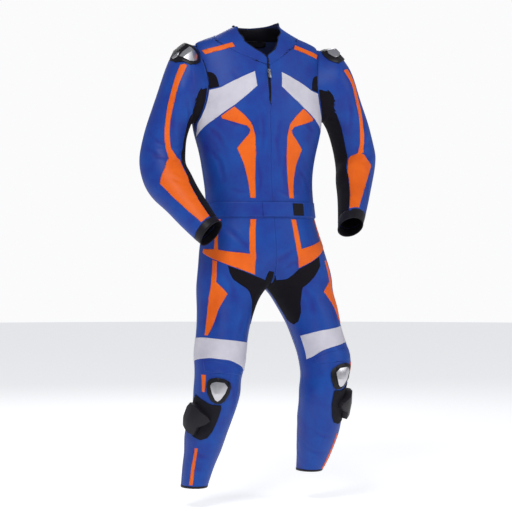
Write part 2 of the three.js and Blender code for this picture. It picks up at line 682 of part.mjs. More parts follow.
for (const { name, leg, hem, kneeRise } of sides) {
  const share = (z) => Math.min(1, Math.max(0, (crotch - z) / (crotch - kneeTop)))
  const raised = (outline) => outline.map(([angle, z]) => [angle, z + kneeRise * share(z)])
  add(`hip_flame_${name}`, sewn(leg, hipFlame[name]), orange)
  add(`side_flame_${name}`, sewn(leg, raised(sideFlame)), orange)
  add(`thigh_stretch_${name}`, sewn(leg, thighStretch[name]), stretch)
  add(`knee_band_${name}`, sewn(leg, raised(kneeBand[name])), white)
  add(`knee_flap_${name}`, sewn(leg, raised(kneeFlap)), blue)
  add(`knee_stripe_${name}`, sewn(leg, raised(kneeStripe)), orange)
  add(`shin_stripe_${name}`, sewn(leg, raised(shinStripe)), orange)
  const round = corners({ ...binding, top: hem + binding.wide, bottom: hem })
  add(`hem_binding_${name}`, sewn(leg, round), black)
}

// Hard pads: each is drawn as a closed line, and its face rises to a dome over its middle.
function dome(centre, reach, edge, rise) {
  return ([x, y]) => {
    const out = ((x - centre[0]) / reach[0]) ** 2 + ((y - centre[1]) / reach[1]) ** 2
    return edge + rise * Math.max(0, 1 - out)
  }
}

// Cups, with the plates set in them. The raised left shoulder's cup lies closer round the sleeve's head.
const cup = { edge: 3.5, rise: 5 }
const cupPlate = { thick: 2, rise: 1.5 }
const shoulderCups = {
  right: {
    centre: [57, 1.3],
    reach: [40, 1.3],
    line: [
      [70, 0.35], [57, 0.12], [43, 0.1], [32, 0.3], [25, 0.8], [27, 1.4], [42, 2.05], [60, 2.45], [84, 2.6],
      [93, 2.25], [83, 1.2],
    ],
    plate: [
      [56, 0.85], [50, 0.66], [40, 0.55], [32, 0.7], [29, 1], [34, 1.4], [45, 1.85], [54, 2.05], [57, 1.6],
    ],
  },
  left: {
    centre: [68, 1.15],
    reach: [38, 1.1],
    line: [
      [80, 0.2], [64, 0.2], [52, 0.35], [44, 0.5], [38, 0.8], [36, 1.05], [41, 1.3], [50, 1.6], [64, 1.95],
      [80, 2.2], [95, 2.1], [103, 1.5], [98, 0.7],
    ],
    plate: [
      [70, 0.5], [58, 0.55], [50, 0.72], [46, 0.86], [47, 1.02], [54, 1.2], [66, 1.4], [76, 1.45], [78, 0.9],
    ],
  },
}
const kneeCup = {
  centre: [20, -1035],
  reach: [34, 52],
  line: [
    [48, -1013], [41, -1004], [26, -1000], [8, -1004], [-7, -1015], [-11, -1029], [-7, -1051], [0, -1068],
    [8, -1075], [20, -1075], [34, -1066], [44, -1046], [49, -1027],
  ],
  plate: [
    [38, -1024], [35, -1016], [25, -1012], [8, -1015], [0, -1027], [4, -1044], [11, -1062], [17, -1068],
    [23, -1063], [32, -1045],
  ],
}
function addPad(place, name, grid, pad) {
  const face = dome(pad.centre, pad.reach, cup.edge, cup.rise)
  const under = (mark) => face(mark) + rest
  add(`${place}_cup_${name}`, panel(grid, pad.line, rest, face), moulded)
  const middle = [0, 1].map((k) => pad.plate.reduce((sum, mark) => sum + mark[k], 0) / pad.plate.length)
  const reach = [0, 1].map((k) => Math.max(...pad.plate.map((mark) => Math.abs(mark[k] - middle[k]))))
  const bulge = dome(middle, reach, cupPlate.thick, cupPlate.rise)
  const over = (mark) => under(mark) + bulge(mark)
  add(`${place}_plate_${name}`, panel(grid, pad.plate, under, over), plate)
}

// Sliders: a six-sided puck on its hook-and-loop base, outside and below the knee
const sliderBase = {
  thick: 3,
  line: [
    [84, -1052], [50, -1068], [30, -1079], [6, -1080], [3, -1092], [4, -1124], [9, -1160], [17, -1178],
    [34, -1184], [56, -1176], [82, -1152], [96, -1122], [99, -1084],
  ],
}
const puck = {
  edge: 18,
  rise: 9,
  centre: [62, -1120],
  reach: [42, 56],
  line: [
    [80, -1076], [62, -1083], [28, -1112], [22, -1123], [30, -1134], [43, -1143], [48, -1166], [62, -1161],
    [84, -1144], [90, -1122], [89, -1090],
  ],
}
const baseTop = rest + sliderBase.thick
for (const { name, leg, sleeve, padRise } of sides) {
  const lifted = (line) => line.map(([angle, z]) => [angle, z + padRise])
  const [kneeMiddle, puckMiddle] = lifted([kneeCup.centre, puck.centre])
  const puckFace = dome(puckMiddle, puck.reach, puck.edge, puck.rise)
  addPad('shoulder', name, sleeve, shoulderCups[name])
  addPad('knee', name, leg, {
    centre: kneeMiddle, reach: kneeCup.reach, line: lifted(kneeCup.line), plate: lifted(kneeCup.plate),
  })
  add(`slider_base_${name}`, panel(leg, lifted(sliderBase.line), rest, baseTop), black)
  add(`slider_puck_${name}`, panel(leg, lifted(puck.line), baseTop + rest, puckFace), moulded)
}

// Zip slider and pull tab, built upright and then leant back with the chest. The tab turns on a barrel
// held between two lugs of the slider.
const slider = { width: 8, height: 12, thick: 4, stand: 0.15 }
const lug = { width: 1.2, height: 5, reach: 4.2, apart: 4.8 }
const barrel = { radius: 1.3, length: 4 }
const tab = { width: 7, length: 24, thick: 1.5, ahead: 0.4, shank: 6, shankWidth: 2.6 }
const zipHeight = -104
const above = torsoPoint(0, torsoHeights.findLast((z) => z > zipHeight))
const below = torsoPoint(0, torsoHeights.find((z) => z < zipHeight))
const lean = Math.atan2(above.y - below.y, above.z - below.z)

function manifoldOf(geometry) {
  const plain = geometry.clone()
  plain.deleteAttribute('normal')
  plain.deleteAttribute('uv')
  const merged = mergeVertices(plain, 1e-4)
  return new wasm.Manifold(new wasm.Mesh({
    numProp: 3, vertProperties: merged.attributes.position.array, triVerts: new Uint32Array(merged.index.array),
  }))
}
function joined(geometries) {
  const whole = geometries.map(manifoldOf).reduce((sum, solid) => sum.add(solid))
  const { vertProperties, triVerts } = whole.getMesh()
  const geometry = new THREE.BufferGeometry()
  geometry.setAttribute('position', new THREE.BufferAttribute(vertProperties, 3))
  geometry.setIndex(new THREE.BufferAttribute(triVerts, 1))
  geometry.computeVertexNormals()
  return geometry
}
const block = (x, y, z, at) => new THREE.BoxGeometry(x, y, z).translate(...at)

const sliderFront = -slider.stand - slider.thick
const barrelAt = { y: sliderFront - lug.reach + 1.6, z: 1 }
const sunk = 1
const lugs = [-1, 1].map((way) => block(lug.width, lug.reach + sunk, lug.height, [
  (way * (lug.apart + lug.width)) / 2, sliderFront - (lug.reach - sunk) / 2, barrelAt.z,
]))
const sliderBody = block(slider.width, slider.thick, slider.height, [0, -slider.stand - slider.thick / 2, 0])
const zip = new THREE.Group()
zip.position.copy(above).lerp(below, (above.z - zipHeight) / (above.z - below.z))
zip.rotation.x = -lean
suit.add(zip)
const zipSlider = new THREE.Mesh(joined([sliderBody, ...lugs]), metal)
zipSlider.name = 'zip_slider'
zip.add(zipSlider)

const eye = new THREE.CylinderGeometry(barrel.radius, barrel.radius, barrel.length, 12)
eye.rotateZ(Math.PI / 2).translate(0, barrelAt.y, barrelAt.z)
const tabY = barrelAt.y - tab.ahead
const tabTop = barrelAt.z - tab.shank
const shank = block(tab.shankWidth, tab.thick, tab.shank, [0, tabY, barrelAt.z - tab.shank / 2 - sunk / 2])
const plateLength = tab.length - tab.shank
const tabBody = block(tab.width, tab.thick, plateLength, [0, tabY, tabTop - plateLength / 2])
const zipPull = new THREE.Mesh(joined([eye, shank, tabBody]), metal)
zipPull.name = 'zip_pull'
zip.add(zipPull)

export default suit
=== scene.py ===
# %% [markdown]
# # Motorcycle race suit
# A two-piece leather suit, filled out with no wearer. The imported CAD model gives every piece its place.
# This script gives each one the surface of the real thing: smooth panels with folds, sunk seams, stitching
# and moulded armour.

import math

import bmesh
import bpy
import numpy as np
from mathutils import Matrix, Vector, noise
from mathutils.bvhtree import BVHTree


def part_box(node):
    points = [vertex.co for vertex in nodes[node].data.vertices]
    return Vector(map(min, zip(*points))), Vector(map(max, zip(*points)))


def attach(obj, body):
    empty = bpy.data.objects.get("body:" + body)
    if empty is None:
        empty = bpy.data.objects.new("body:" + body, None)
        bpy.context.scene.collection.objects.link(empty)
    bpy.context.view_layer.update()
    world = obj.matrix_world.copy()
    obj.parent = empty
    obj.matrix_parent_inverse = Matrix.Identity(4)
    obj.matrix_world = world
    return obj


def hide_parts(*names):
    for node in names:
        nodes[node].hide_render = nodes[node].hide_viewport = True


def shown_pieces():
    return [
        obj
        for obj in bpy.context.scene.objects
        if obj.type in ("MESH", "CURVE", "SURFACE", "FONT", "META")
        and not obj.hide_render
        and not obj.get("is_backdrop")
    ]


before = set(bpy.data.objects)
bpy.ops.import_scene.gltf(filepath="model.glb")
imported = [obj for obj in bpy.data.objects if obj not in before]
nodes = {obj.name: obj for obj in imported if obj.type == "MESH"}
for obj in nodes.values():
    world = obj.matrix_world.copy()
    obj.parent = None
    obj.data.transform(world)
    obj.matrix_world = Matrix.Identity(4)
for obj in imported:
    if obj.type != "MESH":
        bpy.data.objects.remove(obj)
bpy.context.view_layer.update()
print("CAD nodes:", len(nodes))

# %% [markdown]
# ## The camera
# The photograph was taken from far off, at hip height, from a little to the suit's right. The camera is made
# first, because the folds are placed by where the photograph shows them, along lines of sight from here.

# %% Camera
TURN = math.radians(20)
DISTANCE = 5.0
FRAME_WIDTH = 1.536
PIXEL = FRAME_WIDTH / 512
SENSOR_MM = 36
AIM_ASIDE = -0.0075
AIM_HEIGHT = -0.648
across = Vector((math.cos(TURN), -math.sin(TURN), 0))
ahead = Vector((math.sin(TURN), math.cos(TURN), 0))
aim = across * AIM_ASIDE + Vector((0, 0, AIM_HEIGHT))
eye = aim - ahead * DISTANCE
camera_data = bpy.data.cameras.new("camera")
camera_data.sensor_width = SENSOR_MM
camera_data.lens = SENSOR_MM * DISTANCE / FRAME_WIDTH
camera = bpy.data.objects.new("camera", camera_data)
camera.location = eye
camera.rotation_euler = ahead.to_track_quat("-Z", "Y").to_euler()
bpy.context.scene.collection.objects.link(camera)
bpy.context.scene.camera = camera


def sight(px, py):
    """The direction from the camera through a pixel of the photograph."""
    shown = aim + across * ((px - 256) * PIXEL) + Vector((0, 0, (256 - py) * PIXEL))
    return (shown - eye).normalized()


print("lens:", round(camera_data.lens, 1), "mm")

# %% [markdown]
# ## Colours and nodes
# Every material is made of shader nodes. One function turns a hex colour to linear light, and one adds a
# node with its settings and its links, so each finish below reads as a short list.


# %% Node helpers
def colour(text):
    """A hex sRGB colour as linear RGBA."""
    parts = [int(text[i : i + 2], 16) / 255 for i in (1, 3, 5)]
    return [c / 12.92 if c <= 0.04045 else ((c + 0.055) / 1.055) ** 2.4 for c in parts] + [1]


def add(tree, kind, settings=None, **inputs):
    """Adds a node. An input is a value, or a (node, output) pair to link. i2 is its third socket."""
    made = tree.nodes.new("ShaderNode" + kind)
    for name, value in (settings or {}).items():
        setattr(made, name, value)
    for name, value in inputs.items():
        numbered = name[0] == "i" and name[1:].isdigit()
        socket = made.inputs[int(name[1:]) if numbered else name.replace("_", " ")]
        if isinstance(value, tuple) and hasattr(value[0], "outputs"):
            tree.links.new(value[0].outputs[value[1]], socket)
        else:
            socket.default_value = value
    return made


def blank(name):
    """A new material with its tree, its surface shader and its place on the object."""
    material = bpy.data.materials.new(name)
    material.use_nodes = True
    tree = material.node_tree
    tree.nodes.clear()
    shader = add(tree, "BsdfPrincipled")
    add(tree, "OutputMaterial", Surface=(shader, 0))
    place = add(tree, "TexCoord")
    return material, tree, shader, place


def ramp(tree, source, stops):
    """A colour ramp over a value, from (position, colour) stops."""
    made = add(tree, "ValToRGB", Fac=source)
    elements = made.color_ramp.elements
    while len(elements) < len(stops):
        elements.new(0.5)
    for element, (position, shade) in zip(elements, stops):
        element.position = position
        element.color = shade
    return made


# %% [markdown]
# ## Leather
# Cowhide in a wall of 1.6 mm, drum dyed and finished with a thin semi-gloss coat. The grain is a net of
# cells, drawn 1.9 mm wide so that it shows: Voronoi cells bumped very lightly give it. Each dye comes as a
# lit and a shaded colour. The "fold" attribute, stored by the fold step, gives each fold's ridge a painted
# highlight and its crease painted shade, and a broad noise mixes the two colours at random.

# %% Leather materials
MM = 1000.0
GRAIN_MM = 1.9
PORE_MM = 0.9
CLOUD_MM = 70


def leather(name, lit, shaded, rough=0.46, sheen=0.03):
    """Grained hide, with a painted highlight on its ridges and painted shade in its creases."""
    material, tree, shader, place = blank(name)
    grain = add(tree, "TexVoronoi", {"feature": "F1"}, Vector=(place, "Object"), Scale=MM / GRAIN_MM)
    pores = add(tree, "TexNoise", Vector=(place, "Object"), Scale=MM / PORE_MM, Detail=3.0)
    cloud = add(tree, "TexNoise", Vector=(place, "Object"), Scale=MM / CLOUD_MM, Detail=4.0, Roughness=0.6)
    fold = add(tree, "Attribute", {"attribute_name": "fold"})
    # Painted highlight and shade: the fold attribute lifts ridges towards the lit colour and sinks creases
    # towards the shaded one; the cloud noise adds random tone.
    mottle_and_shade = add(tree, "Math", {"operation": "MULTIPLY_ADD"}, i0=(cloud, "Fac"), i1=0.5, i2=(fold, "Fac"))
    shade = ramp(tree, (mottle_and_shade, 0), [(0.12, colour(shaded)), (0.42, colour(lit))])
    tree.links.new(shade.outputs[0], shader.inputs["Base Color"])
    gloss = add(tree, "MapRange", Value=(cloud, "Fac"), i3=rough - 0.05, i4=rough + 0.08)
    tree.links.new(gloss.outputs[0], shader.inputs["Roughness"])
    settings = {"operation": "MULTIPLY_ADD"}
    height = add(tree, "Math", settings, i0=(grain, "Distance"), i1=0.8, i2=(pores, "Fac"))
    bump = add(tree, "Bump", Strength=0.16, Distance=0.0004, Height=(height, 0))
    tree.links.new(bump.outputs[0], shader.inputs["Normal"])
    shader.inputs["IOR"].default_value = 1.48
    shader.inputs["Sheen Weight"].default_value = sheen
    shader.inputs["Sheen Roughness"].default_value = 0.5
    shader.inputs["Specular IOR Level"].default_value = 0.24
    return material


# The second colour of each leather is its dye in painted shade.
blue_leather = leather("dyed_blue_leather", "#0b4da4", "#1c2e86")
orange_leather = leather("dyed_orange_leather", "#f46e12", "#da590d")
white_leather = leather("dyed_white_leather", "#d6d3db", "#b8b5c1")
black_leather = leather("dyed_black_leather", "#17141d", "#0b090f")
print("leathers made")

# %% [markdown]
# ## Stretch rib, lining and the small finishes
# The elastic panels are aramid stretch: a knit in ribs, drawn 3.4 mm apart so that they show, matt and
# slightly fuzzy. The lining is a finer knit. Armour is moulded polyurethane with satin metal plates, and
# the zip is nickel-plated.

# %% Cloth materials


def knit(name, lit, shaded, pitch, rough):
    """Ribs run round the limb, so they follow the object's height."""
    material, tree, shader, place = blank(name)
    ribs = add(
        tree,
        "TexWave",
        {"bands_direction": "Z", "wave_profile": "SIN"},
        Vector=(place, "Object"),
        Scale=math.pi * MM / pitch / 10,
        Distortion=0.6,
        Detail=2.0,
        Detail_Scale=3.0,
    )
    fuzz = add(tree, "TexNoise", Vector=(place, "Object"), Scale=MM / 1.1, Detail=4.0)
    # Painted shade and highlight: the rib troughs take the shaded colour and the crests the lit one.
    shade = ramp(tree, (ribs, "Fac"), [(0.15, colour(shaded)), (0.8, colour(lit))])
    tree.links.new(shade.outputs[0], shader.inputs["Base Color"])
    height = add(tree, "Math", {"operation": "MULTIPLY_ADD"}, i0=(fuzz, "Fac"), i1=0.4, i2=(ribs, "Fac"))
    bump = add(tree, "Bump", Strength=0.55, Distance=0.0008, Height=(height, 0))
    tree.links.new(bump.outputs[0], shader.inputs["Normal"])
    shader.inputs["Roughness"].default_value = rough
    shader.inputs["Sheen Weight"].default_value = 0.02
    shader.inputs["Specular IOR Level"].default_value = 0.15
    return material


def moulded(name, lit, rough, metallic=0.0, grit=0.6, depth=0.1):
    """A moulded or cast surface with a fine texture and slightly uneven gloss."""
    material, tree, shader, place = blank(name)
    fine = add(tree, "TexNoise", Vector=(place, "Object"), Scale=MM / grit, Detail=3.0)
    broad = add(tree, "TexNoise", Vector=(place, "Object"), Scale=MM / 14, Detail=5.0, Roughness=0.7)
    gloss = add(tree, "MapRange", Value=(broad, "Fac"), i3=rough - 0.08, i4=rough + 0.1)
    tree.links.new(gloss.outputs[0], shader.inputs["Roughness"])
    bump = add(tree, "Bump", Strength=depth, Distance=0.0003, Height=(fine, "Fac"))
    tree.links.new(bump.outputs[0], shader.inputs["Normal"])
    shader.inputs["Base Color"].default_value = colour(lit)
    shader.inputs["Metallic"].default_value = metallic
    shader.inputs["Specular IOR Level"].default_value = 0.5 if metallic else 0.26
    return material


# The second colour of each knit is its yarn in painted shade, for the troughs of its ribs.
rib_knit = knit("aramid_rib_knit", "#15111a", "#07050a", 3.4, 0.85)
lining_mesh = knit("lining_mesh", "#26305c", "#121836", 2.2, 0.85)
binding_tape = moulded("woven_black_binding", "#14131c", 0.72, grit=0.9, depth=0.4)
loop_tape = moulded("hook_and_loop_tape", "#15141c", 0.9, grit=1.4, depth=0.9)
polyurethane = moulded("moulded_polyurethane", "#0f0d13", 0.42)
puck_nylon = moulded("machined_nylon", "#19161d", 0.5, grit=1.0, depth=0.25)
satin_plate = moulded("satin_aluminium", "#c9c7cb", 0.32, metallic=1.0, grit=0.4, depth=0.05)
zip_nickel = moulded("plated_zip_metal", "#8d8d94", 0.28, metallic=1.0, grit=0.3, depth=0.03)
blue_thread = moulded("bonded_blue_thread", "#2f56a8", 0.6, grit=0.5, depth=0.3)
orange_thread = moulded("bonded_orange_thread", "#ee7a2d", 0.6, grit=0.5, depth=0.3)
white_thread = moulded("bonded_white_thread", "#dedee6", 0.6, grit=0.5, depth=0.3)
black_thread = moulded("bonded_black_thread", "#26242f", 0.6, grit=0.5, depth=0.3)
print("materials:", len(bpy.data.materials))

# %% [markdown]
# ## From CAD solids to sheets
# A CAD panel is a closed slab of facets. Its outer face alone is the leather's shape, so outer_sheet keeps
# that face and drops the rest. A panel's outer face is larger than its inner one. A piece sewn on a
# panel keeps the faces that look the same way as the skin below them.


# %% Sheets
PATCH_LIMIT = math.radians(58)
FACING = 0.5


def node_bmesh(name):
    """A bmesh of a CAD node with its doubled corners merged."""
    bm = bmesh.new()
    bm.from_mesh(nodes[name].data)
    bmesh.ops.remove_doubles(bm, verts=bm.verts, dist=2e-5)
    bm.normal_update()
    return bm


def largest_patch(bm):
    """The largest stretch of faces that no edge sharper than the limit parts."""
    bm.faces.index_update()
    seen, found = set(), []
    for first in bm.faces:
        if first in seen:
            continue
        seen.add(first)
        patch, todo = [], [first]
        while todo:
            face = todo.pop()
            patch.append(face)
            for edge in face.edges:
                for other in edge.link_faces:
                    if other not in seen and face.normal.angle(other.normal, 0) < PATCH_LIMIT:
                        seen.add(other)
                        todo.append(other)
        found.append(patch)
    return set(max(found, key=lambda patch: sum(face.calc_area() for face in patch)))


def outer_sheet(name, under=None):
    """Only the outer face of a CAD piece, as quads where its triangles pair up."""
    bm = node_bmesh(name)
    if under:
        keep = {f for f in bm.faces if f.normal.dot(under.find_nearest(f.calc_center_median())[1]) > FACING}
    else:
        keep = largest_patch(bm)
    bmesh.ops.delete(bm, geom=[f for f in bm.faces if f not in keep], context="FACES")
    bmesh.ops.join_triangles(bm, faces=bm.faces, angle_face_threshold=0.8, angle_shape_threshold=1.4)
    return bm


def made_object(name, bm):
    """A bmesh as a linked object, at the origin."""
    mesh = bpy.data.meshes.new(name)
    bm.to_mesh(mesh)
    bm.free()
    obj = bpy.data.objects.new(name, mesh)
    bpy.context.scene.collection.objects.link(obj)
    return obj


def applied(obj):
    """The object's mesh with its modifiers worked in."""
    graph = bpy.context.evaluated_depsgraph_get()
    graph.update()
    mesh = bpy.data.meshes.new_from_object(obj.evaluated_get(graph))
    obj.modifiers.clear()
    obj.data = mesh
    return obj


def discard(obj):
    """Takes a helper object out of the scene."""
    bpy.data.objects.remove(obj)


# %% [markdown]
# ## Smooth bodies
# Panels that meet in a seam are joined into one skin before they are smoothed, so the surface runs on
# across the seam, as leather stretched over a shape does. Subdivision pulls a surface inside its corners,
# so the corners are first moved out by as much, and the smooth skin then passes through the CAD's own
# points.

# %% Skins
GROUPS = {
    "torso": ["jacket_front_right", "jacket_front_left", "jacket_back", "collar"],
    "arm_right": ["sleeve_right", "sleeve_stretch_right", "cuff_right"],
    "arm_left": ["sleeve_left", "sleeve_stretch_left", "cuff_left"],
    "legs": ["trouser_front_right", "trouser_front_left", "trouser_back_right", "trouser_back_left"],
}
SEAM_REACH = 0.0015
CORNER_REACH = 0.0055
SLIVER = 0.003
TURN_LIMIT = math.radians(35)
SLIT_SIDES = 5


def turns(corner):
    """Whether a rim bends sharply at this corner."""
    ends = [e.other_vert(corner).co for e in corner.link_edges if e.is_boundary]
    return len(ends) != 2 or (ends[0] - corner.co).angle(corner.co - ends[1], 0) > TURN_LIMIT


def rim_beside(corner, rim, number):
    """The closest place on a neighbouring panel's rim: its distance, its share of an edge, and the edge."""
    own = {face[number] for face in corner.link_faces}
    best = (SEAM_REACH, 0.0, None)
    for edge in rim:
        if corner in edge.verts or edge.link_faces[0][number] in own:
            continue
        a, b = edge.verts[0].co, edge.verts[1].co
        share = min(1.0, max(0.0, (corner.co - a).dot(b - a) / max((b - a).length_squared, 1e-12)))
        away = (corner.co - a.lerp(b, share)).length
        if away < best[0]:
            best = (away, share, edge)
    return best


def close_seams(bm, number):
    """Sews the panels' rims together, corner to corner, or corner to a new point on an edge."""
    for corner in [v for v in bm.verts if v.is_boundary]:
        if not corner.is_valid or not corner.is_boundary:
            continue
        rim = [e for e in bm.edges if e.is_boundary]
        _, share, edge = rim_beside(corner, rim, number)
        if edge is None:
            continue
        end = edge.verts[round(share)]
        sewn = len({face[number] for face in end.link_faces}) > 1
        reach = SEAM_REACH if sewn or turns(end) else CORNER_REACH
        if (end.co - corner.co).length > reach:
            end = bmesh.utils.edge_split(edge, edge.verts[0], share)[1]
        bmesh.ops.weld_verts(bm, targetmap={end: corner})


def joined(names):
    """Outer faces of several panels in one bmesh, each face numbered by its panel."""
    bm = bmesh.new()
    number = bm.faces.layers.int.new("panel")
    for index, name in enumerate(names):
        sheet = outer_sheet(name)
        bmesh.ops.remove_doubles(sheet, verts=sheet.verts, dist=SLIVER)
        mesh = bpy.data.meshes.new("joining")
        sheet.to_mesh(mesh)
        sheet.free()
        before = len(bm.faces)
        bm.from_mesh(mesh)
        bpy.data.meshes.remove(mesh)
        bm.faces.ensure_lookup_table()
        for face in bm.faces[before:]:
            face[number] = index
    close_seams(bm, number)
    for face in bmesh.ops.holes_fill(bm, edges=bm.edges, sides=SLIT_SIDES)["faces"]:
        face[number] = next(f[number] for e in face.edges for f in e.link_faces if f != face)
    bm.normal_update()
    return bm


def smooth_skin(name, bm, levels):
    """A subdivided skin that passes through the bmesh's own corners."""
    obj = made_object(name, bm)
    corners = np.zeros(len(obj.data.vertices) * 3)
    obj.data.vertices.foreach_get("co", corners)
    subdivide = obj.modifiers.new("smooth", "SUBSURF")
    subdivide.levels = subdivide.render_levels = levels
    subdivide.boundary_smooth = "ALL"
    graph = bpy.context.evaluated_depsgraph_get()
    target = corners.copy()
    for _ in range(2):
        graph.update()
        shape = obj.evaluated_get(graph).data
        smooth = np.zeros(len(shape.vertices) * 3)
        shape.vertices.foreach_get("co", smooth)
        target += corners - smooth[: len(corners)]
        obj.data.vertices.foreach_set("co", target)
        obj.data.update()
    return applied(obj)


def soften(bm, corners, factor=0.5):
    """Draws corners towards the middle of their neighbours."""
    bmesh.ops.smooth_vert(bm, verts=corners, factor=factor, use_axis_x=True, use_axis_y=True, use_axis_z=True)


def ease_seams(obj, rounds=9):
    """Draws each seam and each open edge as one clean line: its points move to between their neighbours."""
    bm = bmesh.new()
    bm.from_mesh(obj.data)
    number = bm.faces.layers.int["panel"]
    tree = BVHTree.FromBMesh(bm)
    seam = {}
    for edge in bm.edges:
        if edge.is_boundary or len({face[number] for face in edge.link_faces}) == 2:
            for corner in edge.verts:
                seam.setdefault(corner, []).append(edge.other_vert(corner))
    free = {corner: ends for corner, ends in seam.items() if len(ends) == 2}
    for _ in range(rounds):
        places = {corner: corner.co * 0.4 + (ends[0].co + ends[1].co) * 0.3 for corner, ends in free.items()}
        for corner, place in places.items():
            corner.co = place
    beside = {e.other_vert(c) for c in free for e in c.link_edges} - seam.keys()
    beside = [c for c in bm.verts if c in beside and not c.is_boundary]
    soften(bm, beside)
    for corner in [*free, *beside]:
        if not corner.is_boundary:
            corner.co = tree.find_nearest(corner.co)[0]
    bm.to_mesh(obj.data)
    bm.free()


skins = {}
for group, names in GROUPS.items():
    skins[group] = smooth_skin("skin_" + group, joined(names), 3)
    ease_seams(skins[group])
    print("skin", group, len(skins[group].data.polygons), "faces")

# %% [markdown]
# ## Folds
# Leather this thick doesn't flutter: it buckles into a few soft folds where a limb bends or a panel is
# long. Each fold is a line on the surface, given by the pixels where the photograph shows it, with a width
# and a depth. The skin sinks along the line and rises beside it, as hide does, and fades out at the ends.
# The sides that the camera doesn't see have only a very soft unevenness.

# %% Fold helpers
FINE_STRETCH = 14.0
# These scale each point's rise into the fold attribute, which paints highlight and shade on the leather.
FOLD_SHADE_GAIN = 55.0
FOLD_SHADE_MOST = 0.12


def tree_of(obj):
    """A search tree over an object's faces."""
    bm = bmesh.new()
    bm.from_mesh(obj.data)
    found = BVHTree.FromBMesh(bm)
    bm.free()
    return found


def coordinates(mesh, kind="co"):
    """A mesh's places or normals as rows of three numbers."""
    values = np.zeros(len(mesh.vertices) * 3)
    if kind == "co":
        mesh.vertices.foreach_get("co", values)
    else:
        mesh.vertex_normals.foreach_get("vector", values)
    return values.reshape(-1, 3)


def along(points, line):
    """For each point its distance from a bent line, and its place along it from 0 to 1."""
    lengths = [float(np.linalg.norm(b - a)) for a, b in zip(line, line[1:])]
    best = np.full(len(points), 1e9)
    place = np.zeros(len(points))
    start = 0.0
    for a, b, length in zip(line, line[1:], lengths):
        t = np.clip((points - a) @ (b - a) / max(length**2, 1e-12), 0, 1)
        away = np.linalg.norm(points - (a + t[:, None] * (b - a)), axis=1)
        closer = away < best
        best[closer] = away[closer]
        place[closer] = (start + t[closer] * length) / sum(lengths)
        start += length
    return best, place


def add_folds(obj, folds, swell=0.0006):
    """Sinks each fold into a skin and stores how much each point rose or fell."""
    mesh = obj.data
    tree = tree_of(obj)
    points, normals = coordinates(mesh), coordinates(mesh, "normal")
    rise = np.array([noise.noise(Vector(p) * FINE_STRETCH) * swell for p in points])
    for pixels, width, depth in folds:
        line = [tree.ray_cast(eye, sight(x, y))[0] for x, y in pixels]
        line = [np.array(p) for p in line if p is not None]
        if len(line) < 2:
            print("a fold misses", obj.name, pixels)
            continue
        away, place = along(points, line)
        w = width / MM
        valley = np.exp(-((away / w) ** 2))
        ridge = np.exp(-(((away - 1.6 * w) / (0.9 * w)) ** 2))
        fade = np.sin(np.pi * np.clip(place, 0.03, 0.97)) ** 0.8
        rise += depth / MM * fade * (0.5 * ridge - valley)
    mesh.vertices.foreach_set("co", (points + normals * rise[:, None]).ravel())
    # The stored rise paints the leather: painted highlight on the ridges, painted shade in the creases.
    kept = mesh.attributes.new("fold", "FLOAT", "POINT")
    kept.data.foreach_set("value", np.clip(rise * FOLD_SHADE_GAIN, -FOLD_SHADE_MOST, FOLD_SHADE_MOST).astype(np.float32))
    mesh.update()


# %% [markdown]
# The torso's folds fan from the armpits and gather above the belt. The arms have long soft folds, closer
# together inside the elbow. The legs gather at the crotch, under the knee bands and above the hems.

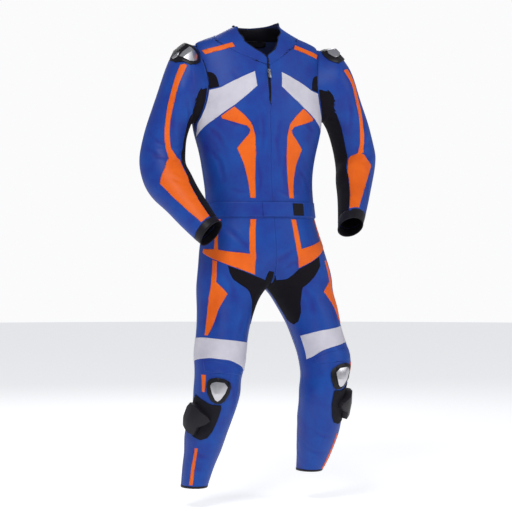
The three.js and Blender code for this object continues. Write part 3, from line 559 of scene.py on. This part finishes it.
# %% Fold lines, as pixels of the photograph, width and depth in millimetres
FOLDS = {
    "torso": [
        ([(262, 112), (264, 132), (262, 150)], 6, 1.6),
        ([(280, 118), (277, 140), (279, 165)], 7, 1.6),
        ([(258, 160), (261, 180), (259, 196)], 6, 1.4),
        ([(288, 150), (284, 172), (286, 192)], 7, 1.5),
        ([(222, 118), (236, 124), (250, 122)], 8, 1.4),
        ([(206, 126), (218, 136), (226, 150)], 8, 1.6),
        ([(210, 150), (220, 162), (224, 182)], 8, 1.5),
        ([(304, 122), (314, 132), (318, 148)], 8, 1.5),
        ([(298, 168), (306, 180), (308, 194)], 8, 1.3),
        ([(228, 188), (242, 192), (252, 190)], 6, 1.3),
        ([(276, 190), (288, 195), (300, 192)], 6, 1.3),
        ([(232, 72), (240, 80), (250, 84)], 7, 1.0),
        ([(283, 76), (292, 80), (300, 78)], 7, 1.0),
    ],
    "arm_right": [
        ([(186, 98), (190, 116), (186, 134)], 6, 2.0),
        ([(194, 100), (194, 114), (190, 126)], 6, 1.8),
        ([(174, 108), (172, 124), (174, 140)], 7, 1.4),
        ([(150, 132), (158, 142), (170, 146)], 7, 1.6),
        ([(147, 148), (156, 156), (168, 158)], 7, 1.6),
        ([(184, 150), (178, 158), (168, 164)], 6, 1.6),
        ([(168, 176), (180, 182), (192, 184)], 7, 1.3),
        ([(184, 196), (194, 200), (204, 200)], 6, 1.1),
    ],
    "arm_left": [
        ([(348, 96), (352, 112), (350, 130)], 7, 1.8),
        ([(362, 118), (366, 134), (364, 150)], 7, 1.6),
        ([(372, 140), (364, 148), (354, 150)], 7, 1.6),
        ([(374, 154), (366, 162), (356, 164)], 7, 1.6),
        ([(368, 176), (372, 190), (366, 204)], 7, 1.3),
        ([(340, 206), (352, 212), (362, 212)], 6, 1.1),
    ],
    "legs": [
        ([(226, 228), (240, 240), (256, 252)], 8, 1.7),
        ([(232, 250), (246, 256), (262, 262)], 7, 1.8),
        ([(276, 262), (288, 254), (302, 246)], 8, 1.7),
        ([(280, 272), (292, 264), (308, 260)], 7, 1.6),
        ([(222, 270), (232, 284), (236, 304)], 9, 1.5),
        ([(302, 286), (312, 300), (316, 320)], 9, 1.5),
        ([(212, 300), (216, 316), (214, 330)], 9, 1.4),
        ([(246, 312), (242, 326), (238, 338)], 9, 1.3),
        ([(330, 300), (334, 316), (338, 330)], 9, 1.3),
        ([(206, 364), (222, 370), (238, 368)], 7, 1.5),
        ([(332, 352), (346, 358), (362, 354)], 7, 1.5),
        ([(228, 376), (234, 392), (232, 410)], 8, 1.5),
        ([(330, 372), (336, 388), (334, 404)], 8, 1.5),
        ([(214, 436), (222, 442), (228, 440)], 8, 1.4),
        ([(190, 446), (200, 456), (210, 458)], 7, 1.5),
        ([(186, 462), (198, 470), (210, 470)], 6, 1.4),
        ([(310, 428), (322, 436), (336, 434)], 7, 1.5),
        ([(304, 444), (314, 452), (326, 452)], 6, 1.4),
    ],
}
for group, folds in FOLDS.items():
    add_folds(skins[group], folds)
    print("folds in", group, len(folds))

# %% [markdown]
# ## Panels
# The skin is cut back into its panels. Along each cut the leather is turned under and sewn, so its edge
# sinks: an inset ring leaves a narrow strip there, and its outer corners drop. Solidify gives the hide its
# wall, and the inside takes the lining's material, so the hollow form shows a real inside at the neck,
# cuffs and hems.

# %% Panel maker
WALL = 0.0016
SEAM_SINK = 0.0004
SEAM_RING = 0.0016
STITCH_IN = 0.0036


def loops(bm):
    """The open edges of a bmesh as rings of its corners."""
    left = dict.fromkeys(e for e in bm.edges if e.is_boundary)
    rings = []
    while left:
        edge = next(iter(left))
        del left[edge]
        ring = [edge.verts[0], edge.verts[1]]
        while True:
            following = next((e for e in ring[-1].link_edges if e in left), None)
            if following is None:
                break
            del left[following]
            ring.append(following.other_vert(ring[-1]))
        rings.append(ring)
    return rings


def edge_rows(bm, distance):
    """Rows of points and normals that run inside a sheet's edge, for its stitching."""
    inner = bm.copy()
    ring = bmesh.ops.inset_region(
        inner, faces=inner.faces, thickness=distance, use_boundary=True, use_even_offset=False
    )["faces"]
    bmesh.ops.delete(inner, geom=ring, context="FACES")
    inner.normal_update()
    rows = [[(v.co.copy(), v.normal.copy()) for v in ring] for ring in loops(inner)]
    inner.free()
    return rows


def sunk_edge(bm, ring_width, sink):
    """Insets a sheet's rim and lowers its outer corners."""
    bmesh.ops.inset_region(bm, faces=bm.faces, thickness=ring_width, use_boundary=True, use_even_offset=False)
    bm.normal_update()
    for corner in [v for v in bm.verts if v.is_boundary]:
        corner.co -= corner.normal * sink


def walled(obj, wall, outside, inside):
    """Gives a sheet its thickness inwards. The inside wears its own material."""
    obj.data.materials.clear()
    obj.data.materials.append(outside)
    obj.data.materials.append(inside)
    solidify = obj.modifiers.new("wall", "SOLIDIFY")
    solidify.thickness = wall
    solidify.offset = -1
    solidify.material_offset = 1
    solidify.use_quality_normals = True
    applied(obj)
    obj.data.shade_smooth()


def placed(obj, slot_name, *stands_for, body="suit"):
    """Rides a finished piece on its body and hides the CAD nodes it stands for."""
    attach(obj, body)
    if stands_for:
        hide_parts(*stands_for)
    return obj


stitch_rows = {}

# %% Cut the skins into panels
def panel_finish(name):
    """A panel's material, its slot and its thread."""
    if name.startswith("sleeve_stretch"):
        return rib_knit, "stretch_black", None
    if name.startswith("cuff"):
        return black_leather, "leather_black", "black"
    return blue_leather, "leather_blue", "blue"


def cut_panel(skin, index, name):
    """One panel of a skin as its own walled piece."""
    bm = bmesh.new()
    bm.from_mesh(skin.data)
    number = bm.faces.layers.int["panel"]
    others = [f for f in bm.faces if f[number] != index]
    if others:
        bmesh.ops.delete(bm, geom=others, context="FACES")
    bm.normal_update()
    material, slot_name, thread = panel_finish(name)
    if thread:
        stitch_rows.setdefault(thread, []).extend(edge_rows(bm, STITCH_IN))
    sunk_edge(bm, SEAM_RING, SEAM_SINK)
    obj = made_object("piece_" + name, bm)
    walled(obj, WALL, material, rib_knit if name.startswith(("sleeve", "cuff")) else lining_mesh)
    return placed(obj, slot_name, name)


skin_trees = {group: tree_of(skin) for group, skin in skins.items()}
for group, names in GROUPS.items():
    for index, name in enumerate(names):
        cut_panel(skins[group], index, name)

# %% [markdown]
# ## Pieces sewn on top
# The flames, yokes, bands and stripes are flat leather cut to shape and sewn over the panels. Each starts
# from the outer face of its CAD piece, is divided finely, laid back on the folded skin at its own height,
# and gets a turned edge and a thin wall. Its edge sits down on the panel and its middle stands a little
# proud.

# %% Overlay maker
OVERLAY_STEP = 0.0062
OVERLAY_RING = 0.0012
OVERLAY_SINK = 0.0007
OVERLAY_STITCH_IN = 0.0026
LEAST_PROUD = 0.0009
EASE_LIMIT = math.radians(34)


def fine_sheet(name, under):
    """The outer face of a CAD piece, divided until no edge is long, its outline eased between its corners."""
    bm = outer_sheet(name, under)
    for _ in range(5):
        long_edges = [e for e in bm.edges if e.calc_length() > OVERLAY_STEP]
        if not long_edges:
            break
        bmesh.ops.subdivide_edges(bm, edges=long_edges, cuts=1, use_grid_fill=True)
        bmesh.ops.triangulate(bm, faces=[f for f in bm.faces if len(f.verts) > 4])
    for _ in range(4):
        moved = {}
        for corner in bm.verts:
            if not corner.is_boundary:
                continue
            ends = [e.other_vert(corner).co for e in corner.link_edges if e.is_boundary]
            if len(ends) != 2:
                continue
            turn = (corner.co - ends[0]).angle(ends[1] - corner.co, 0)
            if turn < EASE_LIMIT:
                moved[corner] = corner.co * 0.5 + (ends[0] + ends[1]) * 0.25
        for corner, place in moved.items():
            corner.co = place
    inner = [v for v in bm.verts if not v.is_boundary]
    soften(bm, inner)
    return bm


def laid(bm, tree, height):
    """Lays a sheet's corners on a skin, at a height above it, and eases its middle."""
    for corner in bm.verts:
        place, normal, _, _ = tree.find_nearest(corner.co)
        corner.co = place + normal * height
    inner = [v for v in bm.verts if not v.is_boundary]
    soften(bm, inner, 0.4)
    bm.normal_update()


def overlay(name, group, material, slot_name, thread=None, wall=0.0009, most=0.0032):
    """A piece sewn on a skin."""
    tree = skin_trees[group]
    bm = fine_sheet(name, tree)
    heights = sorted(tree.find_nearest(v.co)[3] for v in bm.verts)
    height = max(LEAST_PROUD, min(heights[len(heights) // 2], most))
    laid(bm, tree, height)
    if thread:
        stitch_rows.setdefault(thread, []).extend(edge_rows(bm, OVERLAY_STITCH_IN))
    sunk_edge(bm, OVERLAY_RING, min(height * 0.6, OVERLAY_SINK))
    obj = made_object("piece_" + name, bm)
    walled(obj, wall, material, material)
    placed(obj, slot_name, name)
    print(name, "stands", round(height * MM, 2), "mm proud,", len(obj.data.polygons), "faces")


# %% Lay the sewn pieces
for side in ("right", "left"):
    overlay("chest_yoke_" + side, "torso", white_leather, "leather_white", "white")
    overlay("chest_flame_" + side, "torso", orange_leather, "leather_orange", "orange")
    overlay("shoulder_stripe_" + side, "torso", orange_leather, "leather_orange", "orange")
    overlay("armhole_inset_" + side, "torso", rib_knit, "stretch_black")
    overlay("sleeve_flame_" + side, "arm_" + side, orange_leather, "leather_orange", "orange")
    overlay("hip_flame_" + side, "legs", orange_leather, "leather_orange", "orange")
    overlay("side_flame_" + side, "legs", orange_leather, "leather_orange", "orange")
    overlay("thigh_stretch_" + side, "legs", rib_knit, "stretch_black")
    overlay("knee_band_" + side, "legs", white_leather, "leather_white", "white")
    overlay("knee_flap_" + side, "legs", blue_leather, "leather_blue", "blue")
    overlay("knee_stripe_" + side, "legs", orange_leather, "leather_orange", "orange")
    overlay("shin_stripe_" + side, "legs", orange_leather, "leather_orange", "orange")
    overlay("hem_binding_" + side, "legs", black_leather, "leather_black")
    overlay("slider_base_" + side, "legs", loop_tape, "hook_and_loop_black")
overlay("belt", "torso", blue_leather, "leather_blue", "blue", wall=0.0016)
overlay("belt_tab", "torso", blue_leather, "leather_blue", "blue", wall=0.0016, most=0.006)
overlay("belt_patch", "torso", loop_tape, "hook_and_loop_black", most=0.008)

# %% [markdown]
# ## Armour
# The shoulder and knee cups, their plates and the sliders are moulded or stamped, so they keep the CAD's
# own shape. A copy of each gets rounded edges, because a real edge always catches a line of light.


# %% Moulded pieces
SHARP_LIMIT = math.radians(28)
EDGE_SEGMENTS = 3


def moulded_piece(name, material, slot_name, round_mm, body="suit"):
    """A copy of a CAD node with its sharp edges rounded."""
    bm = node_bmesh(name)
    sharp = [e for e in bm.edges if len(e.link_faces) == 2 and e.calc_face_angle(0) > SHARP_LIMIT]
    bmesh.ops.bevel(
        bm,
        geom=sharp,
        offset=round_mm / MM,
        segments=EDGE_SEGMENTS,
        profile=0.5,
        affect="EDGES",
        clamp_overlap=True,
        material=-1,
    )
    obj = made_object("piece_" + name, bm)
    obj.data.materials.clear()
    obj.data.materials.append(material)
    obj.data.shade_smooth()
    placed(obj, slot_name, name, body=body)


for side in ("right", "left"):
    moulded_piece("shoulder_cup_" + side, polyurethane, "moulded_black", 1.6)
    moulded_piece("shoulder_plate_" + side, satin_plate, "plate_silver", 0.5)
    moulded_piece("knee_cup_" + side, polyurethane, "moulded_black", 1.6)
    moulded_piece("knee_plate_" + side, satin_plate, "plate_silver", 0.5)
    moulded_piece("slider_puck_" + side, puck_nylon, "moulded_black", 1.2)
moulded_piece("zip_slider", zip_nickel, "zip_metal", 0.3)
moulded_piece("zip_pull", zip_nickel, "zip_metal", 0.25, body="zip_pull")
moulded_piece("zip_tape", binding_tape, "zip_tape_black", 0.2)
moulded_piece("collar_facing", black_leather, "leather_black", 0.3)
moulded_piece("neck_lining", lining_mesh, "lining_navy", 0.3)

# %% [markdown]
# ## Small pieces the photograph shows
# A bare black patch lies on the lining behind the neck, where a maker sews a label. The right shoulder cup
# carries a second small metal facet. Both are placed by their pixels in the photograph and laid on the
# piece that carries them. Fifty of the patch's corners miss the lining and go to its nearest point. The
# finished patch is wider than drawn.


# %% Patch and facets
def laid_patch(name, pixels, under, lift, wall, material, slot_name, cuts=3):
    """A thin plate whose outline is given in pixels, laid on a CAD node as seen from the camera."""
    bm = node_bmesh(under)
    tree = BVHTree.FromBMesh(bm)
    bm.free()
    bm = bmesh.new()
    rim = [bm.verts.new(eye + sight(x, y)) for x, y in pixels]
    face = bmesh.ops.contextual_create(bm, geom=rim)["faces"]
    bmesh.ops.poke(bm, faces=face)
    bmesh.ops.subdivide_edges(bm, edges=bm.edges, cuts=cuts, use_grid_fill=True)
    missed = 0
    for corner in bm.verts:
        place, normal, _, _ = tree.ray_cast(eye, (corner.co - eye).normalized())
        if place is None:
            missed += 1
            place, normal, _, _ = tree.find_nearest(eye + (corner.co - eye).normalized() * DISTANCE)
        if normal.dot(eye - place) < 0:
            normal = -normal
        corner.co = place + normal * lift
    bmesh.ops.recalc_face_normals(bm, faces=bm.faces)
    bm.normal_update()
    middle = sum((f.normal for f in bm.faces), Vector())
    if middle.dot(-ahead) < 0:
        bmesh.ops.reverse_faces(bm, faces=bm.faces)
    obj = made_object(name, bm)
    walled(obj, wall, material, material)
    placed(obj, slot_name)
    print(name, "misses", missed, "of its corners")


def rounded(cx, cy, half_wide, half_high, power=3.2, steps=28):
    """The pixels round a rounded rectangle."""
    ring = []
    for step in range(steps):
        turn = 2 * math.pi * step / steps
        x, y = math.cos(turn), math.sin(turn)
        reach = (abs(x) ** power + abs(y) ** power) ** (-1 / power)
        ring.append((cx + half_wide * x * reach, cy + half_high * y * reach))
    return ring


laid_patch(
    "neck_patch",
    rounded(258, 44.2, 7.4, 3.4),
    "neck_lining",
    0.0012,
    0.0010,
    binding_tape,
    "leather_black",
)
laid_patch(
    "shoulder_facet_right",
    [(179.6, 51.4), (177.2, 52.6), (171.8, 57.6), (173.0, 58.8), (176.2, 57.2), (178.6, 54.4)],
    "shoulder_cup_right",
    0.0008,
    0.0010,
    satin_plate,
    "plate_silver",
    cuts=1,
)

# %% [markdown]
# ## Zip teeth
# The zip is closed below its slider. Its moulded teeth mesh along the middle of the slit: each is a small
# block on one tape edge or the other. Real teeth of this size repeat every 1.5 mm on each side. These are
# drawn at 2.6 mm.

# %% Teeth
TOOTH_PITCH = 0.0026
ZIP_TOP = 0.012
ZIP_FOOT = 0.004
TOOTH = Vector((0.0030, 0.0016, 0.0011))
TOOTH_ASIDE = 0.0009
TOOTH_PROUD = 0.0006
TOOTH_ROUND = 0.0002


def zip_line():
    """Points down the middle of the front opening, on the tape."""
    bm = node_bmesh("zip_tape")
    tree = BVHTree.FromBMesh(bm)
    low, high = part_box("zip_tape")
    bm.free()
    rows = []
    height = high.z - ZIP_TOP
    while height > low.z + ZIP_FOOT:
        found = tree.ray_cast(Vector((0.0, -0.5, height)), Vector((0, 1, 0)))[0]
        if found is not None:
            rows.append(found)
        height -= TOOTH_PITCH / 2
    return rows


teeth = bmesh.new()
for count, place in enumerate(zip_line()):
    aside = TOOTH_ASIDE if count % 2 else -TOOTH_ASIDE
    block = bmesh.ops.create_cube(teeth, size=1.0)["verts"]
    bmesh.ops.scale(teeth, verts=block, vec=TOOTH)
    bmesh.ops.translate(teeth, verts=block, vec=place + Vector((aside, -TOOTH_PROUD, 0)))
bmesh.ops.bevel(
    teeth,
    geom=teeth.edges,
    offset=TOOTH_ROUND,
    segments=1,
    profile=0.5,
    affect="EDGES",
    clamp_overlap=True,
    material=-1,
)
zip_teeth = made_object("zip_teeth", teeth)
zip_teeth.data.materials.append(polyurethane)
placed(zip_teeth, "zip_tape_black")
print("zip teeth:", len(zip_teeth.data.polygons), "faces")

# %% [markdown]
# ## Stitching
# Every leather seam is topstitched with bonded thread, tone on tone. A real stitch is about 3.5 mm long and
# 0.4 mm thick. These are 4 mm long at a 6 mm pitch and 0.7 mm thick, as coarse as the render needs to show
# them. Each is a short curve that dips into the leather at both ends.

# %% Stitches
PITCH = 0.006
STITCH = 0.0040
THREAD_RADIUS = 0.00035
STITCH_RISE = 0.0004
STITCH_DIP = 0.0003


def round_curve(name, radius, resolution):
    """An empty curve with a round section."""
    curve = bpy.data.curves.new(name, "CURVE")
    curve.dimensions = "3D"
    curve.bevel_depth = radius
    curve.bevel_resolution = resolution
    return curve


def add_line(curve, points):
    """Adds a line through the points."""
    spline = curve.splines.new("POLY")
    spline.points.add(len(points) - 1)
    for point, place in zip(spline.points, points):
        point.co = (*place, 1)
    return spline


def curve_mesh(name, curve, material):
    """A drawn curve as a mesh object in its material."""
    drawn = bpy.data.objects.new(name, curve)
    bpy.context.scene.collection.objects.link(drawn)
    graph = bpy.context.evaluated_depsgraph_get()
    graph.update()
    mesh = bpy.data.meshes.new_from_object(drawn.evaluated_get(graph))
    discard(drawn)
    obj = bpy.data.objects.new(name, mesh)
    bpy.context.scene.collection.objects.link(obj)
    mesh.materials.clear()
    mesh.materials.append(material)
    mesh.shade_smooth()
    return obj


def stitched(name, rows, material):
    """One mesh of all the stitches in a thread, spaced evenly along their rows."""
    curve = round_curve(name, THREAD_RADIUS, 0)
    made = 0
    for row in rows:
        if len(row) < 4:
            continue
        gone, due = 0.0, 0.0
        for (a, na), (b, nb) in zip(row, row[1:]):
            length = (b - a).length
            while length > 0 and due < gone + length:
                t = (due - gone) / length
                centre = a.lerp(b, t)
                normal = na.lerp(nb, t).normalized()
                way = (b - a).normalized() * (STITCH / 2)
                dip = normal * STITCH_DIP
                add_line(curve, [centre - way - dip, centre + normal * STITCH_RISE, centre + way - dip])
                made += 1
                due += PITCH
            gone += length
    obj = curve_mesh(name, curve, material)
    print(name, made, "stitches,", len(obj.data.polygons), "faces")
    return obj


THREADS = {
    "blue": (blue_thread, "leather_blue"),
    "orange": (orange_thread, "leather_orange"),
    "white": (white_thread, "leather_white"),
    "black": (black_thread, "leather_black"),
}
for thread, rows in stitch_rows.items():
    material, slot_name = THREADS[thread]
    placed(stitched("stitching_" + thread, rows, material), slot_name)

# %% [markdown]
# ## Piping and bindings
# A welt is set into each armhole seam, and a folded tape binds the neckline and the cuffs. All are tubes
# that follow the skins' own open edges.


# %% Tubes along edges
def tube(name, points, radius, material, slot_name):
    """A closed tube through the points of an edge."""
    curve = round_curve(name, radius, 3)
    add_line(curve, points).use_cyclic_u = True
    placed(curve_mesh(name, curve, material), slot_name)


def skin_rings(group):
    """A skin's open edges as lists of points, highest first."""
    bm = bmesh.new()
    bm.from_mesh(skins[group].data)
    rings = [[v.co.copy() for v in ring[:-1]] for ring in loops(bm)]
    bm.free()
    return sorted(rings, key=lambda r: -sum(p.z for p in r) / len(r))


for side in ("right", "left"):
    rings = skin_rings("arm_" + side)
    print("arm", side, "rings", [(len(r), round(sum(p.z for p in r) / len(r), 3)) for r in rings])
    tube("armhole_welt_" + side, rings[0], 0.0019, blue_leather, "leather_blue")
    tube("cuff_binding_" + side, rings[-1], 0.0016, binding_tape, "leather_black")
neck = skin_rings("torso")
print("torso rings", [(len(r), round(sum(p.z for p in r) / len(r), 3)) for r in neck])
tube("neck_binding", neck[0], 0.0012, binding_tape, "leather_black")

# %% [markdown]
# All are estimates from the form, and some of the areas follow the finished surface. The neck patch's size
# isn't a real one.


# %% [markdown]
# ## Clear the workshop
# The joined skins have done their work: their panels are pieces of their own.

# %% Remove the skins
for skin in skins.values():
    discard(skin)

# %% [markdown]
# ## Floor and light
# A pale floor and soft boxes, as in a product studio: a large key from the upper left, a weaker fill from
# the right, a rim light from behind and a pale sky all round. The plain "Standard" view keeps the dyes as
# strong as the photograph shows them.

# %% Stage
bpy.context.scene.view_settings.view_transform = "Standard"
FLOOR = -1.395
floor_bmesh = bmesh.new()
bmesh.ops.create_circle(floor_bmesh, cap_ends=True, segments=96, radius=14)
floor = made_object("studio_floor", floor_bmesh)
floor.data.transform(Matrix.Translation((0, 0, FLOOR)))
paper, _, paper_shader, _ = blank("painted_studio_floor")
paper_shader.inputs["Base Color"].default_value = colour("#f4f4f4")
paper_shader.inputs["Roughness"].default_value = 0.8
paper_shader.inputs["Emission Color"].default_value = colour("#ffffff")
paper_shader.inputs["Emission Strength"].default_value = 0.5
floor.data.materials.append(paper)
floor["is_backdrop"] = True

world = bpy.data.worlds.new("pale_sky")
world.use_nodes = True
sky = world.node_tree
sky.nodes.clear()
backdrop = add(sky, "Background", Color=colour("#fbfbfc"), Strength=1.0)
soft_sky = add(sky, "Background", Color=colour("#e9edf6"), Strength=0.36)
ray = add(sky, "LightPath")
sky_mix = add(sky, "MixShader", Fac=(ray, "Is Camera Ray"), i1=(soft_sky, 0), i2=(backdrop, 0))
add(sky, "OutputWorld", Surface=(sky_mix, 0))
bpy.context.scene.world = world


def soft_box(name, place, towards, size, power):
    """A round studio light of a size and a power, turned towards a point."""
    light = bpy.data.lights.new(name, "AREA")
    light.shape = "DISK"
    light.size = size
    light.energy = power
    lamp = bpy.data.objects.new(name, light)
    lamp.location = place
    lamp.rotation_euler = (Vector(towards) - Vector(place)).to_track_quat("-Z", "Y").to_euler()
    bpy.context.scene.collection.objects.link(lamp)


soft_box("key", (-1.9, -2.7, 2.1), (0, 0, -0.3), 1.5, 80)
soft_box("fill", (2.2, -2.4, 0.9), (0, 0, -0.4), 1.8, 26)
soft_box("rim", (0.5, 3.2, 1.4), (0, 0, -0.5), 2.0, 30)

# %% Finish
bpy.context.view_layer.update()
solid_pieces = [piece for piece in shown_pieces() if piece.type == "MESH"]
print("triangles:", sum(len(face.vertices) - 2 for piece in solid_pieces for face in piece.data.polygons))
